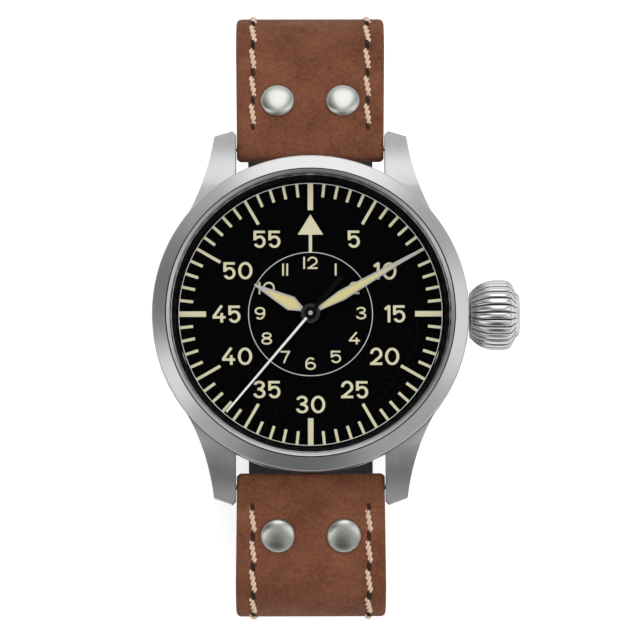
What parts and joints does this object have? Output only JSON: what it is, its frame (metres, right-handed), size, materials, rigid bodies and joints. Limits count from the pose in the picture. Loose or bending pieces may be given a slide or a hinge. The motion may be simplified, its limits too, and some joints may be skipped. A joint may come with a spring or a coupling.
{
  "type": "wristwatch",
  "caption": "Round steel pilot wristwatch with onion crown, sword hands, geared hand-wound movement and a riveted leather strap closed by a pin buckle.",
  "frame": {"origin": "centre of the case back outer face, on the common axis of the hands", "axes": "+Z out of the dial towards the reader, +Y towards 12 o'clock, +X towards the crown at 3 o'clock"},
  "size_m": [0.049, 0.0816, 0.0573],
  "materials": {
    "satin_steel": "satin brushed",
    "brushed_bezel": "brushed in circles",
    "crown_steel": "satin with soft highlights",
    "crystal_glass": "clear, flat, polished",
    "black_flange": "semi-matt black",
    "rubber_seal": "matt",
    "dial_black": "matt black with cream prints",
    "dial_lume": "matt cream luminous paint",
    "hand_steel": "satin nickel",
    "hand_lume": "matt yellowish luminous paint",
    "seconds_white": "white needle, black hub and tail",
    "movement_brass": "gilt, matt",
    "spring_steel": "blued",
    "polished_steel": "polished",
    "strap_leather": "brown nubuck with cream stitching",
    "lining_leather": "dark charcoal, smooth",
    "rivet_steel": "satin brushed"
  },
  "bodies": {
    "case": {"case_middle": "satin_steel", "bezel": "brushed_bezel", "crystal": "crystal_glass", "rehaut_ring": "black_flange", "case_back": "satin_steel", "crown_tube": "satin_steel", "dial": "dial_black", "dial_markers": "dial_lume", "main_plate": "movement_brass", "barrel_bridge": "movement_brass", "train_bridge": "movement_brass", "balance_cock": "movement_brass", "hairspring": "spring_steel", "yoke": "polished_steel", "strap_12_leather": "strap_leather", "strap_12_lining": "lining_leather", "strap_6_leather": "strap_leather", "strap_6_lining": "lining_leather", "strap_rivets": "rivet_steel", "spring_bar_12": "polished_steel", "spring_bar_6": "polished_steel", "buckle_bar": "rivet_steel", "fixed_keeper": "strap_leather"},
    "crown_slider": {"crown_gasket": "rubber_seal"},
    "crown": {"crown": "crown_steel", "winding_stem": "polished_steel"},
    "winding_pinion": {"winding_pinion": "polished_steel"},
    "clutch": {"clutch_pinion": "polished_steel"},
    "crown_wheel": {"crown_wheel": "polished_steel"},
    "ratchet": {"ratchet_wheel": "polished_steel", "barrel_arbor": "polished_steel"},
    "click": {"click": "polished_steel"},
    "setting_lever": {"setting_lever": "polished_steel"},
    "setting_wheel": {"setting_wheel": "movement_brass"},
    "minutes": {"minute_hand": "hand_steel", "minute_lume": "hand_lume", "cannon_pinion": "polished_steel", "centre_wheel": "movement_brass"},
    "hours": {"hour_hand": "hand_steel", "hour_lume": "hand_lume", "hour_wheel": "movement_brass"},
    "minute_wheel": {"minute_wheel": "movement_brass"},
    "seconds": {"seconds_hand": "seconds_white", "fourth_wheel": "movement_brass"},
    "third": {"third_wheel": "movement_brass"},
    "escape": {"escape_wheel": "movement_brass"},
    "barrel": {"barrel": "movement_brass", "mainspring": "spring_steel"},
    "fork": {"pallet_fork": "polished_steel"},
    "balance": {"balance_wheel": "movement_brass"},
    "pin_12_left": {"pin_12_left": "polished_steel"},
    "pin_12_right": {"pin_12_right": "polished_steel"},
    "pin_6_left": {"pin_6_left": "polished_steel"},
    "pin_6_right": {"pin_6_right": "polished_steel"},
    "buckle_frame": {"buckle_frame": "rivet_steel"},
    "buckle_prong": {"buckle_prong": "rivet_steel"},
    "free_keeper": {"free_keeper": "strap_leather"}
  },
  "joints": [
    {"name": "minute_hand_turn", "type": "hinge", "parent": "case", "child": "minutes", "pos_m": [0, 0, 0.005], "axis": [0, 0, 1], "continuous": true},
    {"name": "hour_hand_turn", "type": "hinge", "parent": "case", "child": "hours", "pos_m": [0, 0, 0.007], "axis": [0, 0, 1], "continuous": true},
    {"name": "minute_wheel_turn", "type": "hinge", "parent": "case", "child": "minute_wheel", "pos_m": [0.00277, -0.0016, 0.0065], "axis": [0, 0, 1], "continuous": true},
    {"name": "setting_wheel_turn", "type": "hinge", "parent": "case", "child": "setting_wheel", "pos_m": [0.00687, 0, 0.0065], "axis": [0, 0, 1], "continuous": true},
    {"name": "barrel_turn", "type": "hinge", "parent": "case", "child": "barrel", "pos_m": [0.00486, 0.00579, 0.0049], "axis": [0, 0, 1], "continuous": true},
    {"name": "third_wheel_turn", "type": "hinge", "parent": "case", "child": "third", "pos_m": [-0.00339, -0.00339, 0.0046], "axis": [0, 0, 1], "continuous": true},
    {"name": "seconds_hand_turn", "type": "hinge", "parent": "case", "child": "seconds", "pos_m": [0, 0, 0.0043], "axis": [0, 0, 1], "continuous": true},
    {"name": "escape_wheel_turn", "type": "hinge", "parent": "case", "child": "escape", "pos_m": [0.00189, -0.00327, 0.005], "axis": [0, 0, 1], "continuous": true},
    {"name": "fork_swing", "type": "hinge", "parent": "case", "child": "fork", "pos_m": [0.00397, -0.00473, 0.005], "axis": [0, 0, 1], "range_deg": [-5, 5]},
    {"name": "balance_swing", "type": "hinge", "parent": "case", "child": "balance", "pos_m": [0.00684, -0.00674, 0.0045], "axis": [0, 0, 1], "range_deg": [-270, 270], "stiffness_Nm_per_rad": 0.00000025},
    {"name": "crown_pull", "type": "slide", "parent": "case", "child": "crown_slider", "axis": [1, 0, 0], "range_m": [0, 0.0009]},
    {"name": "crown_turn", "type": "hinge", "parent": "crown_slider", "child": "crown", "pos_m": [0.022, 0, 0.0054], "axis": [1, 0, 0], "continuous": true},
    {"name": "winding_pinion_turn", "type": "hinge", "parent": "case", "child": "winding_pinion", "pos_m": [0.012, 0, 0.0054], "axis": [1, 0, 0], "continuous": true},
    {"name": "clutch_turn", "type": "hinge", "parent": "case", "child": "clutch", "pos_m": [0.0105, 0, 0.0054], "axis": [1, 0, 0], "continuous": true},
    {"name": "crown_wheel_turn", "type": "hinge", "parent": "case", "child": "crown_wheel", "pos_m": [0.0096, 0, 0.0038], "axis": [0, 0, 1], "continuous": true},
    {"name": "ratchet_turn", "type": "hinge", "parent": "case", "child": "ratchet", "pos_m": [0.00486, 0.00579, 0.0038], "axis": [0, 0, 1], "continuous": true},
    {"name": "click_lift", "type": "hinge", "parent": "case", "child": "click", "pos_m": [0.00809, 0.01115, 0.0038], "axis": [0, 0, 1], "range_deg": [-10, 0], "stiffness_Nm_per_rad": 0.000001},
    {"name": "setting_lever_swing", "type": "hinge", "parent": "case", "child": "setting_lever", "pos_m": [0.01475, 0.0032, 0.0065], "axis": [0, 0, 1], "range_deg": [0, 16.3]},
    {"name": "buckle_swing", "type": "hinge", "parent": "case", "child": "buckle_frame", "pos_m": [0, -0.002, -0.0413], "axis": [1, 0, 0], "range_deg": [0, 4]},
    {"name": "prong_swing", "type": "hinge", "parent": "buckle_frame", "child": "buckle_prong", "pos_m": [0, -0.002, -0.0413], "axis": [1, 0, 0], "range_deg": [0, 5]},
    {"name": "keeper_slide", "type": "slide", "parent": "case", "child": "free_keeper", "axis": [0, 1, 0], "range_m": [-0.0025, 0.005]},
    {"name": "pin_12_left_press", "type": "slide", "parent": "case", "child": "pin_12_left", "axis": [1, 0, 0], "range_m": [0, 0.0008], "stiffness_N_per_m": 400, "springref_m": -0.0005},
    {"name": "pin_12_right_press", "type": "slide", "parent": "case", "child": "pin_12_right", "axis": [-1, 0, 0], "range_m": [0, 0.0008], "stiffness_N_per_m": 400, "springref_m": -0.0005},
    {"name": "pin_6_left_press", "type": "slide", "parent": "case", "child": "pin_6_left", "axis": [1, 0, 0], "range_m": [0, 0.0008], "stiffness_N_per_m": 400, "springref_m": -0.0005},
    {"name": "pin_6_right_press", "type": "slide", "parent": "case", "child": "pin_6_right", "axis": [-1, 0, 0], "range_m": [0, 0.0008], "stiffness_N_per_m": 400, "springref_m": -0.0005}
  ],
  "couplings": [
    {"joint": "hour_hand_turn", "follows": "minute_hand_turn", "ratio": 0.083333},
    {"joint": "minute_wheel_turn", "follows": "minute_hand_turn", "ratio": -0.33333},
    {"joint": "setting_wheel_turn", "follows": "minute_hand_turn", "ratio": 0.4},
    {"joint": "barrel_turn", "follows": "minute_hand_turn", "ratio": -0.16667},
    {"joint": "third_wheel_turn", "follows": "minute_hand_turn", "ratio": -8},
    {"joint": "seconds_hand_turn", "follows": "minute_hand_turn", "ratio": 60},
    {"joint": "escape_wheel_turn", "follows": "minute_hand_turn", "ratio": -480},
    {"joint": "winding_pinion_turn", "follows": "crown_turn", "ratio": 1},
    {"joint": "clutch_turn", "follows": "crown_turn", "ratio": 1},
    {"joint": "crown_wheel_turn", "follows": "crown_turn", "ratio": 0.5},
    {"joint": "ratchet_turn", "follows": "crown_turn", "ratio": -0.3125},
    {"joint": "setting_lever_swing", "follows": "crown_pull", "rad_per_m": 314}
  ]
}
